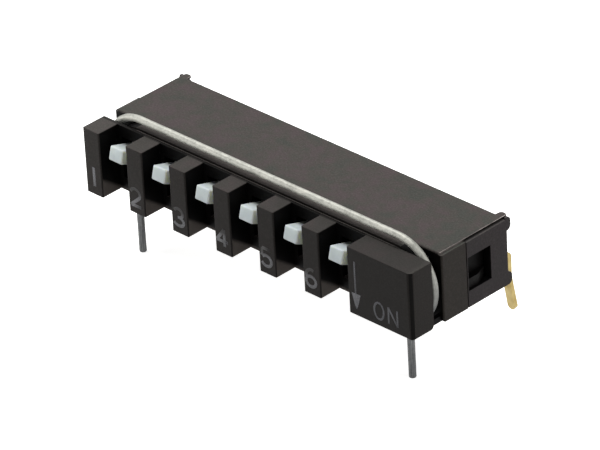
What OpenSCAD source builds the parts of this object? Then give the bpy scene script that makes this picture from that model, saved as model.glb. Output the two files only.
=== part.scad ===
// Low-profile, six-way, side-actuated (piano) DIP switch with a wire hold-down.
// Millimetres. X runs along the row of levers, the levers face -Y and +Z is up.
// The origin is the centre of the body's underside.

/* [Lever row] */
// Distance from one lever to the next
pitch = 2.54; // [2.50:0.01:2.80]
// Width of a numbered guard finger
finger_w = 0.95; // [0.80:0.01:1.05]
// Width of the blank block at the right-hand end
block_w = 3.52; // [3.40:0.02:4.00]
// How far the fingers stand in front of the slot wall
finger_d = 1.10; // [1.00:0.02:1.20]
// Thickness of the wall behind the fingers
slot_wall_t = 0.14; // [0.08:0.01:0.18]
// Height of the row of fingers
row_h = 3.08; // [3.00:0.02:3.14]
// Radius of the row's upright edges
row_edge_r = 0.07; // [0.05:0.01:0.15]
// Radius of the block's outer upright edge
block_corner_r = 0.22; // [0.10:0.01:0.30]
// Radius of the row's level edges
row_brim_r = 0.04; // [0.03:0.01:0.10]
// Radius of the row's lower edge at the back
row_heel_r = 0.25; // [0.20:0.01:0.40]

/* [Neck and groove] */
// Width of the groove between the row and the body, in which the wire lies
groove_w = 0.62; // [0.58:0.02:0.80]
// Height of the neck that joins the row to the body
neck_h = 3.00; // [2.96:0.01:3.04]
// Height of the neck's underside above the body's underside
neck_lift = 0.11; // [0.06:0.01:0.14]
// Width of the slit between the row and the neck's top
slit_w = 0.13; // [0.10:0.01:0.20]
// Depth of that slit
slit_d = 0.30; // [0.15:0.01:0.34]
// Width of the small bridge under the groove at each end
bridge_w = 0.22; // [0.15:0.01:0.26]
// Height of that bridge
bridge_h = 0.26; // [0.15:0.01:0.28]

/* [Body] */
// Depth of the body from front to back
body_d = 3.76; // [3.68:0.02:4.40]
// Height of the body
body_h = 3.16; // [3.14:0.01:3.40]
// How far each end of the body lies inside the end of the row
body_inset = 0.03; // [0.00:0.01:0.06]
// Thickness of the top and bottom walls
shell_t = 0.36; // [0.32:0.01:0.38]
// Thickness of the front wall
front_t = 0.22; // [0.18:0.01:0.30]
// Thickness of the partition between two cavities
partition_t = 0.64; // [0.56:0.01:0.70]
// Radius of the body's edges
body_edge_r = 0.08; // [0.04:0.01:0.09]

/* [Levers] */
// Angle of a raised lever above the level
lever_tilt = 16; // [14:0.5:18]
// Width of the knob's face
knob_w = 0.77; // [0.60:0.01:0.80]
// Height of the knob's face
knob_h = 0.62; // [0.50:0.01:0.70]
// How far the knob's top falls from its face to its root
knob_fall = 0.05; // [0.00:0.01:0.10]
// Taper of each side of the knob
knob_draft = 6; // [3:0.5:8]
// Radius of the knob's corners
knob_r = 0.07; // [0.04:0.01:0.10]
// How far the knob's face lies behind the fronts of the fingers
knob_setback = 0.09; // [0.05:0.01:0.20]
// Width of the lever's arm
arm_w = 0.90; // [0.80:0.01:0.92]
// Height of the lever's arm
arm_h = 0.50; // [0.44:0.01:0.52]
// Radius of the hub
hub_r = 0.45; // [0.42:0.01:0.48]
// Radius of the trunnions
trunnion_r = 0.28; // [0.22:0.01:0.30]
// How far a trunnion reaches into the wall beside it
trunnion_reach = 0.18; // [0.14:0.01:0.19]
// Thickness of the lever's tail
tail_t = 0.40; // [0.34:0.01:0.42]
// Width of the lever's tail
tail_w = 1.30; // [1.10:0.01:1.36]

/* [Contacts and terminals] */
// Thickness of the terminals' metal
metal_t = 0.20; // [0.16:0.01:0.21]
// Width of a terminal pin
pin_w = 0.40; // [0.34:0.01:0.46]
// Distance from the body's back to the middle of the pins
pin_out = 1.77; // [1.50:0.01:2.40]
// Reach of the pins below the body's underside
pin_drop = 2.73; // [2.20:0.01:3.10]
// Angle at which the lower part of a pin leans back
pin_splay = 10; // [0:1:12]
// Height below the underside at which a pin begins to lean
pin_kink = 1.00; // [0.70:0.01:1.40]
// Inside radius of a terminal's bends
bend_r = 0.10; // [0.08:0.01:0.14]
// Width of one contact pad
pad_w = 0.53; // [0.46:0.01:0.56]
// Gap between the two pads of one lever
pad_gap = 0.24; // [0.20:0.01:0.28]
// Thickness of the moving contact's strip
contact_t = 0.12; // [0.10:0.01:0.13]
// Radius of the moving contact's bumps
bump_r = 0.12; // [0.10:0.01:0.13]
// Distance from the end of the lever's tail to the bumps
bump_back = 0.20; // [0.14:0.01:0.24]
// Distance from the lever's hub to the front of the moving contact
clip_back = 0.40; // [0.30:0.01:0.50]
// Gap between the pads and the ceiling of the cavity
pad_room = 0.09; // [0.06:0.01:0.12]

/* [Base] */
// Thickness of the rear plate
plate_t = 0.36; // [0.30:0.01:0.40]
// How far the rear plate lies inside the body's back
plate_inset = 0.10; // [0.04:0.01:0.12]
// Thickness of the arm at each end
latch_arm_t = 0.45; // [0.40:0.01:0.46]
// Distance from the body's back to the front of the arm
latch_arm_l = 2.30; // [2.20:0.01:2.40]
// Thickness of the body's lip over the arm
lip_t = 0.08; // [0.06:0.01:0.12]
// How far the lip stops short of the body's end, which leaves a shoulder
lip_back = 0.14; // [0.10:0.01:0.18]
// Radius of the lip's front corners, seen from above
lip_corner_r = 0.18; // [0.10:0.01:0.24]
// Depth of the arm's window, from front to back
window_d = 1.31; // [1.15:0.01:1.35]
// Height of the arm's window
window_h = 1.53; // [1.40:0.01:1.58]
// Height of the window's sill above the underside
window_sill = 0.76; // [0.70:0.01:0.85]
// Width of the strip in front of the window
window_strip = 0.06; // [0.05:0.01:0.12]
// Gap between the top of each arm and the body's lip
arm_gap = 0.04; // [0.03:0.01:0.06]
// Gap between the front of each arm and its seat in the body
arm_front_gap = 0.06; // [0.03:0.01:0.09]
// How far the outer strip of each upper ear stays below the body's top
ear_drop = 0.02; // [0.01:0.01:0.05]
// How far the latch stands into the window
latch_t = 0.32; // [0.25:0.01:0.36]
// Height of the latch
latch_h = 0.46; // [0.40:0.01:0.60]
// How far the upper ear stands behind the body
upper_ear = 0.29; // [0.24:0.01:0.36]
// How far the lower ear stands behind the body
lower_ear = 0.28; // [0.20:0.01:0.32]
// Height of each arm's upper ear
upper_ear_h = 0.52; // [0.46:0.01:0.60]
// Radius of the ears' upper corner
ear_top_r = 0.21; // [0.12:0.01:0.24]
// Radius of the ears' lower corner
ear_low_r = 0.24; // [0.14:0.01:0.26]
// Height of each arm's lower ear
ear_h = 0.60; // [0.54:0.01:0.64]

// Width of the shell's own ear, which covers each arm's upper ear
shell_ear_w = 0.38; // [0.30:0.01:0.42]
// Radius of that ear's two corners, seen from above
shell_ear_r = 0.15; // [0.08:0.01:0.18]

/* [Hold-down wire] */
// Diameter of the wire
wire_d = 0.32; // [0.28:0.01:0.36]
// Clearance between the wire and the neck that it wraps
wire_clear = 0.22; // [0.20:0.01:0.28]
// Distance from the body's front to the middle of the wire
wire_gap = 0.39; // [0.34:0.01:0.42]
// How far the wire's bends stand out past the ends of the row
wire_out = 0.05; // [0.00:0.01:0.10]
// Angle from the level to the point where the wire turns down into a leg
leg_bend_angle = 69; // [60:1:72]
// Reach of the legs below the body's underside
leg_drop = 2.98; // [2.40:0.01:3.40]
// Radius of the bend at the top of a leg, at the middle of the wire
leg_bend_r = 0.40; // [0.34:0.01:0.50]

/* [Fits] */
// Radial clearance of a trunnion in its bearing
bearing_clear = 0.03; // [0.02:0.01:0.04]
// Clearance between the base and the body
base_fit = 0.02; // [0.01:0.01:0.03]
// Clearance round a terminal in the base
terminal_fit = 0.01; // [0.01:0.01:0.02]
// Gap between a closed contact and its pads
contact_gap = 0.04; // [0.03:0.01:0.05]
// Clearance of a moving lever from what is round it
lever_clear = 0.10; // [0.08:0.01:0.12]

/* [Hidden] */
$fn = 32;

lever_count = 6;
cut = 1;    // how far a cutting tool runs past what it cuts
weld = 0.05; // how far two shapes of one piece run into each other

// Places along X
row_end = (lever_count * pitch + block_w) / 2;
body_end = row_end - body_inset;
slot_w = pitch - finger_w;
function finger_x(i) = -row_end + i * pitch;
function lever_x(i) = finger_x(i) + finger_w + slot_w / 2;
common_x = lever_x(lever_count);
cavity_w = pitch - partition_t;
function wall_x(j) = lever_x(0) + (j - 0.5) * pitch;
end_wall_x = lever_x(0) - cavity_w / 2;
latch_wall_x = body_end - latch_arm_t;
lip_x = body_end - lip_back;

// Places along Y
body_front = -body_d / 2;
body_back = body_d / 2;
row_back = body_front - groove_w;
slot_wall_y = row_back - slot_wall_t;
row_front = slot_wall_y - finger_d;
cavity_front = body_front + front_t;
pivot_y = cavity_front + hub_r + lever_clear;
plate_back = body_back - plate_inset;
plate_front = plate_back - plate_t;
riser_front = plate_front - metal_t;
bar_front = riser_front - metal_t - 0.05;
ledge_front = bar_front - 0.08;
latch_arm_front = body_back - latch_arm_l;
latch_arm_back = body_back + 0.06;
window_front = latch_arm_front + window_strip;
pin_y = body_back + pin_out;

// Heights
neck_z = neck_lift + neck_h / 2;
pivot_z = body_h / 2;
cavity_top = body_h - shell_t;
keeper_h = 2 * (trunnion_r + bearing_clear);
latch_arm_top = body_h - lip_t - arm_gap;

// Lever: u runs from the pivot towards the knob, h upwards, both turned with the lever
knob_reach = (pivot_y - row_front - knob_setback - knob_h / 2 * sin(lever_tilt)) / cos(lever_tilt);
knob_root = (pivot_y - slot_wall_y + 0.02) / cos(lever_tilt);
root_grow = 2 * (knob_reach - knob_root) * tan(knob_draft);
hub_w = cavity_w - 2 * lever_clear;
sweep_r = bar_front - pivot_y - 1.5 * lever_clear;
clip_h = tail_t / 2 + contact_t;
bump_h = tail_t / 2 + bump_r + 0.01;
// the tail is as long as the depth and the height of the cavity let it be
tail_by_depth = sqrt(pow(sweep_r, 2) - pow(clip_h, 2)) - contact_t;
tail_by_height = bump_back + (cavity_top - pad_room - metal_t - contact_gap - bump_r
    - bump_h * cos(lever_tilt) - pivot_z) / sin(lever_tilt);
tail_l = min(tail_by_depth, tail_by_height);
clip_start = hub_r + clip_back;
bump_u = tail_l - bump_back;

// Contact heights, set by the lever in its lower position
bump_top = pivot_z + bump_u * sin(lever_tilt) + bump_h * cos(lever_tilt) + bump_r;
pad_z = bump_top + contact_gap;
bar_z = pivot_z + keeper_h / 2 + 0.05;
bar_top = pad_z - 0.12;
pad_front = pivot_y + bump_u * cos(lever_tilt) - bump_h * sin(lever_tilt) - 2 * bump_r;

// Lever channel through the slot wall, the neck and the front wall
channel_w = max(arm_w, knob_w + root_grow) + 2 * lever_clear;
channel_rise = (pivot_y - slot_wall_y) * tan(lever_tilt)
    + max(arm_h, knob_h + root_grow) / 2 / cos(lever_tilt) + lever_clear;

// Wire
wire_y = body_front - wire_gap;
wire_bend_r = neck_h / 2 + wire_clear + wire_d / 2;
wire_arc_x = row_end + wire_out - wire_d / 2 - wire_bend_r;
leg_bend_x = wire_arc_x + (wire_bend_r + leg_bend_r) * cos(leg_bend_angle);
leg_bend_z = neck_z - (wire_bend_r + leg_bend_r) * sin(leg_bend_angle);
leg_x = leg_bend_x - leg_bend_r;
joint_l = 0.04; // how far a straight length runs into a bend
bridge_x = wire_arc_x
    + sqrt(pow(wire_bend_r + wire_d / 2 + 0.04, 2) - pow(neck_z - bridge_h, 2));

// A box between two corners
module box(low, high) {
    translate(low) cube(high - low);
}

// A flat plate with its own radius at each corner, counter-clockwise from its lowest one
module rounded_plate(low, high, radii) {
    spots = [low, [high[0], low[1]], high, [low[0], high[1]]];
    difference() {
        translate(low) square(high - low);
        for (k = [0:3]) if (radii[k] > 0)
            translate(spots[k]) rotate(90 * k) difference() {
                translate([-cut, -cut]) square(radii[k] + cut);
                translate([radii[k], radii[k]]) circle(radii[k]);
            }
    }
}

// Extrudes a plan (X, Y) upwards, a side view (Y, Z) along X, or a front view (X, Z) along Y
module plan(z0, z1) {
    translate([0, 0, z0]) linear_extrude(z1 - z0) children();
}
module side_view(x0, x1) {
    translate([x0, 0, 0]) rotate([90, 0, 90]) linear_extrude(x1 - x0) children();
}
module front_view(y0, y1) {
    translate([0, y1, 0]) rotate([90, 0, 0]) linear_extrude(y1 - y0) children();
}

// A block of the row, rounded along its upright and its level edges
module row_block(x0, x1, right_r) {
    intersection() {
        plan(-cut, row_h + cut)
            rounded_plate([x0, row_front], [x1, row_back], [row_edge_r, right_r, 0, 0]);
        side_view(x0 - cut, x1 + cut)
            rounded_plate([row_front, 0], [row_back, row_h], [row_brim_r, row_heel_r, 0, row_brim_r]);
        front_view(row_front - cut, row_back + cut)
            rounded_plate([x0, 0], [x1, row_h], [row_brim_r, row_brim_r, row_brim_r, row_brim_r]);
    }
}

module lever_row() {
    for (i = [0:lever_count - 1]) row_block(finger_x(i), finger_x(i) + finger_w, row_edge_r);
    row_block(finger_x(lever_count), row_end, block_corner_r);
    side_view(-row_end + finger_w / 2, row_end - block_w / 2)
        rounded_plate([slot_wall_y, 0], [row_back, row_h], [0, row_heel_r / 4, 0, 0]);
}

module neck() {
    difference() {
        front_view(row_back - weld, body_front + weld) {
            translate([-wire_arc_x, neck_lift]) square([2 * wire_arc_x, neck_h]);
            for (s = [-1, 1]) translate([s * wire_arc_x, neck_z]) circle(neck_h / 2, $fn = 64);
        }
        box([-row_end, row_back, neck_lift + neck_h - slit_d], [row_end, row_back + slit_w, body_h + cut]);
    }
    for (s = [-1, 1]) mirror([s < 0 ? 1 : 0, 0, 0])
        box([bridge_x, row_back - weld, 0], [bridge_x + bridge_w, body_front + weld, bridge_h]);
}

// Outer form of the body, with its edges rounded and a shoulder below the lip at each end
module body_block() {
    r = body_edge_r;
    difference() {
        intersection() {
            plan(-cut, body_h + cut)
                rounded_plate([-body_end, body_front], [body_end, body_back], [r, r, 0, 0]);
            side_view(-body_end - cut, body_end + cut)
                rounded_plate([body_front, 0], [body_back, body_h], [r, 0, r, r]);
        }
        plan(body_h - lip_t, body_h + cut) difference() {
            translate([-body_end - cut, body_front - cut])
                square([2 * (body_end + cut), body_d + 2 * cut]);
            rounded_plate([-lip_x, body_front - weld], [lip_x, body_back + 2 * cut],
                [lip_corner_r, lip_corner_r, 0, 0]);
        }
    }
}

// Everything that is cut out of the body behind its front wall
module body_hollows() {
    // one cavity for each lever, and one for the common terminal
    for (i = [0:lever_count])
        box([lever_x(i) - cavity_w / 2, cavity_front, shell_t],
            [i < lever_count ? lever_x(i) + cavity_w / 2 : latch_wall_x - partition_t / 2,
             body_back + cut, cavity_top]);
    // the seat of the base's rear plate, and of its ledge at the bottom
    box([-body_end - cut, plate_front - base_fit, -cut], [body_end + cut, body_back + cut, cavity_top]);
    box([-body_end - cut, ledge_front - base_fit, -cut], [body_end + cut, body_back + cut, shell_t]);
    // bearings, open to the back, where the base's keepers close them
    for (j = [0:lever_count]) bearing_slot(j);
    // notch that carries the common bar through the partitions
    box([lever_x(0) - pitch / 2, bar_front - base_fit, bar_z - base_fit],
        [common_x + pitch / 2 - partition_t, plate_front + cut, cavity_top]);
    // seats of the arms at both ends
    for (s = [-1, 1]) mirror([s < 0 ? 1 : 0, 0, 0])
        box([latch_wall_x, latch_arm_front - arm_front_gap, -cut],
            [body_end + cut, body_back + cut, body_h - lip_t]);
}

// Bearing j lies to the left of lever j; the first one is blind, in the end wall
function bearing_x0(j) = j == 0 ? end_wall_x - trunnion_reach - base_fit : wall_x(j) - partition_t / 2;
function bearing_x1(j) = wall_x(j) + partition_t / 2;

module bearing_slot(j) {
    side_view(bearing_x0(j) - (j == 0 ? 0 : weld), bearing_x1(j) + weld) {
        translate([pivot_y, pivot_z]) circle(keeper_h / 2);
        translate([pivot_y, pivot_z - keeper_h / 2]) square([body_d, keeper_h]);
    }
}

module housing() {
    color("#34312f") {
        difference() {
            union() {
                lever_row();
                neck();
                body_block();
            }
            body_hollows();
            for (i = [0:lever_count - 1])
                box([lever_x(i) - channel_w / 2, slot_wall_y - weld, pivot_z - channel_rise],
                    [lever_x(i) + channel_w / 2, cavity_front + cut, pivot_z + channel_rise]);
        }
        for (s = [-1, 1]) mirror([s < 0 ? 1 : 0, 0, 0]) {
            latch();
            plan(body_h - lip_t, body_h)
                rounded_plate([lip_x - shell_ear_w, body_back - 2 * body_edge_r], [lip_x, body_back + upper_ear],
                    [0, 0, shell_ear_r, shell_ear_r]);
        }
    }
}

// Wedge on the end wall that snaps into the window of the base's arm
module latch() {
    y0 = window_front + base_fit;
    y1 = window_front + window_d - base_fit;
    plan(window_sill + base_fit, window_sill + latch_h)
        polygon([[latch_wall_x - weld, y0], [latch_wall_x + latch_t, y0],
                 [latch_wall_x + latch_t, (y0 + y1) / 2], [latch_wall_x + weld, y1], [latch_wall_x - weld, y1]]);
}

// Side view of an end arm, with its ears behind the body
module latch_arm_outline() {
    difference() {
        union() {
            translate([latch_arm_front, 0]) square([latch_arm_back - latch_arm_front, latch_arm_top]);
            rounded_plate([body_back - weld, latch_arm_top - upper_ear_h], [body_back + upper_ear, latch_arm_top],
                [0, ear_low_r, ear_top_r, 0]);
            rounded_plate([body_back - weld, 0], [body_back + lower_ear, ear_h],
                [0, ear_low_r, ear_low_r, 0]);
        }
        translate([window_front, window_sill]) square([window_d, window_h]);
    }
}

module base() {
    color("#2e2b29") difference() {
        union() {
            for (s = [-1, 1]) mirror([s < 0 ? 1 : 0, 0, 0]) {
                side_view(latch_wall_x + base_fit, body_end - base_fit / 2) latch_arm_outline();
                side_view(lip_x + arm_gap, body_end - base_fit / 2)
                    rounded_plate([body_back, latch_arm_top - upper_ear_h / 2],
                        [body_back + upper_ear, body_h - ear_drop], [0, 0, ear_top_r, body_edge_r]);
            }
            box([-latch_wall_x - weld, plate_front, 0], [latch_wall_x + weld, plate_back, cavity_top - base_fit]);
            box([-latch_wall_x - weld, ledge_front, 0], [latch_wall_x + weld, plate_back, shell_t - base_fit]);
            for (j = [0:lever_count]) keeper(j);
        }
        for (i = [0:lever_count]) terminal_channel(lever_x(i), i == lever_count ? bar_front : riser_front);
    }
}

// Rib that fills a bearing slot up to the trunnions
module keeper(j) {
    z0 = pivot_z - keeper_h / 2 + base_fit;
    z1 = pivot_z + keeper_h / 2 - base_fit;
    difference() {
        box([bearing_x0(j) + base_fit, pivot_y, z0], [bearing_x1(j) - base_fit, plate_front + weld, z1]);
        side_view(bearing_x0(j) - cut, bearing_x1(j) + cut)
            translate([pivot_y, pivot_z]) circle(keeper_h / 2);
    }
}

// Room in the base for one terminal: a channel under the ledge and a slot up through it
module terminal_channel(x, y) {
    box([x - pin_w / 2 - terminal_fit, y - terminal_fit, -cut],
        [x + pin_w / 2 + terminal_fit, body_back + cut, metal_t + terminal_fit]);
    box([x - pin_w / 2 - terminal_fit, y - terminal_fit, 0],
        [x + pin_w / 2 + terminal_fit, y + metal_t + (y < riser_front ? terminal_fit : 0), shell_t]);
}

// Level run, bend and pin of a terminal, from Y = y to the tip
module terminal_pin(x, y) {
    bend_y = pin_y + metal_t / 2 - bend_r - metal_t;
    kink = [pin_y, -pin_kink];
    lean_l = (pin_drop - pin_kink) / cos(pin_splay);
    box([x - pin_w / 2, y, 0], [x + pin_w / 2, bend_y + 0.001, metal_t]);
    translate([x - pin_w / 2, bend_y, -bend_r]) rotate([0, 90, 0]) rotate([0, 0, 90])
        rotate_extrude(angle = 90) translate([bend_r, 0]) square([metal_t, pin_w]);
    box([x - pin_w / 2, pin_y - metal_t / 2, -pin_kink], [x + pin_w / 2, pin_y + metal_t / 2, -bend_r + 0.001]);
    translate([x - pin_w / 2, kink[0], kink[1]]) rotate([0, 90, 0]) cylinder(r = metal_t / 2, h = pin_w);
    translate([x, kink[0], kink[1]]) rotate([pin_splay, 0, 0]) front_view(-metal_t / 2, metal_t / 2) {
        translate([-pin_w / 2, pin_w / 2 - lean_l]) square([pin_w, lean_l - pin_w / 2]);
        translate([0, pin_w / 2 - lean_l]) circle(pin_w / 2);
    }
}

module terminal(i) {
    x = lever_x(i);
    pad_x = x + pad_gap / 2;
    color("#c9a84c") {
        terminal_pin(x, riser_front);
        box([x - pin_w / 2, riser_front, 0], [x + pin_w / 2, plate_front, pad_z]);
        box([x - pin_w / 2, riser_front, pad_z - pad_w], [pad_x + pad_w, plate_front, pad_z + metal_t]);
        box([pad_x, pad_front, pad_z], [pad_x + pad_w, plate_front, pad_z + metal_t]);
    }
}

module common_bar() {
    color("#c9a84c") {
        box([lever_x(0) - pad_gap / 2 - pad_w, bar_front, bar_z],
            [common_x + pin_w / 2, bar_front + metal_t, bar_top]);
        for (i = [0:lever_count - 1]) {
            pad_x = lever_x(i) - pad_gap / 2 - pad_w;
            box([pad_x, bar_front, bar_z], [pad_x + pad_w, bar_front + metal_t, pad_z + metal_t]);
            box([pad_x, pad_front, pad_z], [pad_x + pad_w, bar_front + metal_t, pad_z + metal_t]);
        }
        box([common_x - pin_w / 2, bar_front, 0], [common_x + pin_w / 2, bar_front + metal_t, bar_top]);
        terminal_pin(common_x, bar_front);
    }
}

// Puts a shape drawn in the lever's own directions (X, -u, h) at the raised lever's place
module on_lever(i) {
    translate([lever_x(i), pivot_y, pivot_z]) rotate([-lever_tilt, 0, 0]) children();
}

// Rounded rectangle across the lever, as a thin slice for the knob's hull
module knob_slice(u, w, h, r) {
    front_view(-u, -u + 0.01)
        rounded_plate([-w / 2, -h / 2], [w / 2, h / 2], [r, r, r, r]);
}

module lever(i) {
    color("#d6dcda") on_lever(i) {
        hull() {
            knob_slice(knob_reach, knob_w - knob_r, knob_h - knob_r, knob_r);
            knob_slice(knob_reach - knob_r / 2, knob_w, knob_h, knob_r);
            translate([0, 0, -(root_grow / 2 + knob_fall) / 2])
                knob_slice(knob_root, knob_w + root_grow, knob_h + root_grow / 2 - knob_fall, knob_r);
        }
        box([-arm_w / 2, -knob_root - weld, -arm_h / 2], [arm_w / 2, 0, arm_h / 2]);
        translate([-hub_w / 2, 0, 0]) rotate([0, 90, 0]) cylinder(r = hub_r, h = hub_w);
        translate([-cavity_w / 2 - trunnion_reach, 0, 0]) rotate([0, 90, 0])
            cylinder(r = trunnion_r, h = cavity_w + 2 * trunnion_reach);
        box([-tail_w / 2, 0, -tail_t / 2], [tail_w / 2, tail_l, tail_t / 2]);
    }
}

// Clip of strip round the end of the tail, with one bump for each pad
module contact(i) {
    color("#b98c4a") on_lever(i) {
        box([-tail_w / 2, clip_start, tail_t / 2], [tail_w / 2, tail_l + contact_t, clip_h]);
        box([-tail_w / 2, tail_l, -clip_h], [tail_w / 2, tail_l + contact_t, clip_h]);
        box([-tail_w / 2, clip_start, -clip_h], [tail_w / 2, tail_l + contact_t, -tail_t / 2]);
        for (s = [-1, 1]) translate([s * (pad_gap + pad_w) / 2 - pad_w / 2 + 0.03, bump_u, bump_h])
            rotate([0, 90, 0]) cylinder(r = bump_r, h = pad_w - 0.06);
    }
}

module hold_down_wire() {
    color("#c4c7c4") translate([0, wire_y, 0]) {
        translate([-wire_arc_x - joint_l, 0, neck_z + wire_bend_r]) rotate([0, 90, 0])
            cylinder(d = wire_d, h = 2 * (wire_arc_x + joint_l));
        for (s = [-1, 1]) mirror([s < 0 ? 1 : 0, 0, 0]) wire_end();
    }
}

// One end of the wire: the bend round the neck, the bend into the leg, and the leg.
// A bend is a little thinner than the straight lengths that run into it.
module wire_end() {
    translate([wire_arc_x, 0, neck_z]) rotate([90, 0, 0]) rotate([0, 0, -leg_bend_angle])
        wire_bend(wire_bend_r, 90 + leg_bend_angle);
    translate([leg_bend_x, 0, leg_bend_z]) rotate([90, 0, 0]) rotate([0, 0, 180 - leg_bend_angle])
        wire_bend(leg_bend_r, leg_bend_angle);
    translate([wire_arc_x, 0, neck_z]) rotate([0, leg_bend_angle, 0]) translate([wire_bend_r, 0, 0])
        cylinder(d = wire_d, h = 2 * joint_l, center = true);
    translate([leg_x, 0, -leg_drop]) cylinder(d = wire_d, h = leg_drop + leg_bend_z + joint_l);
}

module wire_bend(r, angle) {
    rotate_extrude(angle = angle, $fn = 96) translate([r, 0]) circle(d = wire_d - 0.012);
}

housing();
base();
hold_down_wire();
common_bar();
for (i = [0:lever_count - 1]) {
    lever(i);
    contact(i);
    terminal(i);
}
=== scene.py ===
"""Looks for a low piano-type DIP switch: plastics, wire, pins, printed marks, studio and camera.

Everything is in metres, in the frame of the CAD model: X runs along the levers, they face -Y,
and +Z is up.
"""
import math

import bmesh
import bpy
from mathutils import Matrix, Vector


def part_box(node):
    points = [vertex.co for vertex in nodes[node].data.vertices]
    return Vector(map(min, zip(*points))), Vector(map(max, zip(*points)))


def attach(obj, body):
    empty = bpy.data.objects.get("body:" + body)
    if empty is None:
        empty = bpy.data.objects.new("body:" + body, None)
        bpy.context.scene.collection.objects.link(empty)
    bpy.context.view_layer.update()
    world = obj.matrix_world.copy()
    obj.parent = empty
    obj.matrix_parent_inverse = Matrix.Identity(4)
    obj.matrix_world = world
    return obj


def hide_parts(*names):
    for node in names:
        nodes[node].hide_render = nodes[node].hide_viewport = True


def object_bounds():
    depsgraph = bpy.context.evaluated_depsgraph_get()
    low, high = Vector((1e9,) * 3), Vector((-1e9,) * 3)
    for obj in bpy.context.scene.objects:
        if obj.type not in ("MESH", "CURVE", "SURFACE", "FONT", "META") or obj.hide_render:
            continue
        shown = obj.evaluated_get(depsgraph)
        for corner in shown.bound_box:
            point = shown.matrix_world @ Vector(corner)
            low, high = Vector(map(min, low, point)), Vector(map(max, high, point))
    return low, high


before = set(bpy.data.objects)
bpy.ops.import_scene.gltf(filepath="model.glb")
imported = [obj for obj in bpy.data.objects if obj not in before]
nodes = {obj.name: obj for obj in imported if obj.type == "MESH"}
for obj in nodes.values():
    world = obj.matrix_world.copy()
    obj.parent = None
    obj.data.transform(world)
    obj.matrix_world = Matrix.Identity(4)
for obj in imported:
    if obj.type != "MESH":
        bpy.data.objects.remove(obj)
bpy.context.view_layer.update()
MM = 0.001

# Sizes that the model's source also gives
LEVERS = 6
PITCH = 2.54 * MM
FINGER_W = 0.95 * MM
SLOT_WALL_T = 0.14 * MM
GROOVE_W = 0.62 * MM
BODY_FRONT = -1.88 * MM
ARM_FRONT = -0.42 * MM
LIP_Z = 3.08 * MM

# Places along the row and across it
ROW_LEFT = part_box("housing")[0][0]
ROW_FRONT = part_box("housing")[0][1]
ROW_BACK = BODY_FRONT - GROOVE_W
SLOT_WALL = ROW_BACK - SLOT_WALL_T
FIRST_FINGER = ROW_LEFT + FINGER_W / 2
LAST_SLOT = ROW_LEFT + LEVERS * PITCH + FINGER_W / 2


# Materials ---------------------------------------------------------------

# Sockets of a Mix node that mixes colours: its factor, its two colours and its result
FACTOR, UNDER, OVER = 0, 6, 7
MIXED = 2


def linear(code):
    """Linear colour of an sRGB hex value such as "#34312e"."""
    parts = [int(code[i:i + 2], 16) / 255 for i in (1, 3, 5)]
    return [c / 12.92 if c <= 0.04045 else ((c + 0.055) / 1.055) ** 2.4 for c in parts] + [1.0]


def add(tree, kind, settings=None, links=None):
    """Adds a node. Its settings are properties, values of sockets, or "stops", the (place, hex)
    pairs of a colour ramp. Its links give each input as (node, output)."""
    node = tree.nodes.new(kind)
    for key, value in (settings or {}).items():
        if key == "stops":
            elements = node.color_ramp.elements
            while len(elements) < len(value):
                elements.new(0.5)
            for element, (place, code) in zip(elements, value):
                element.position = place
                element.color = linear(code)
        elif isinstance(key, str) and hasattr(node, key):
            setattr(node, key, value)
        else:
            node.inputs[key].default_value = value
    for key, (source, output) in (links or {}).items():
        tree.links.new(source.outputs[output], node.inputs[key])
    return node


def new_material(name):
    material = bpy.data.materials.new(name)
    material.use_nodes = True
    material.node_tree.nodes.clear()
    return material, material.node_tree


def shaded_wall_tops(tree, place):
    """How much painted shade lies: one on the thin walls behind the slots, and 0.7 at the fingers'
    back edges beside them; nought on the rest of the fingers and on the block."""
    spot = add(tree, "ShaderNodeSeparateXYZ", links={"Vector": (place, "Object")})
    # pitches from the left end of the row, whose remainder is the place within a finger and a slot
    steps = add(tree, "ShaderNodeMath",
                {"operation": "MULTIPLY_ADD", 1: 1 / PITCH, 2: -ROW_LEFT / PITCH}, {0: (spot, "X")})
    along = add(tree, "ShaderNodeMath", {"operation": "FRACT"}, {0: (steps, 0)})
    finger = FINGER_W / PITCH
    in_slot = add(tree, "ShaderNodeMapRange",
                  {"From Min": finger - 0.02, "From Max": finger, "To Min": 0.7},
                  {"Value": (along, 0)})
    behind = add(tree, "ShaderNodeMapRange",
                 {"From Min": SLOT_WALL - 0.04 * MM, "From Max": SLOT_WALL}, {"Value": (spot, "Y")})
    before_block = add(tree, "ShaderNodeMath", {"operation": "LESS_THAN", 1: float(LEVERS)},
                       {0: (steps, 0)})
    both = add(tree, "ShaderNodeMath", {"operation": "MULTIPLY"}, {0: (in_slot, 0), 1: (behind, 0)})
    return add(tree, "ShaderNodeMath", {"operation": "MULTIPLY"},
               {0: (both, 0), 1: (before_block, 0)})


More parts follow.
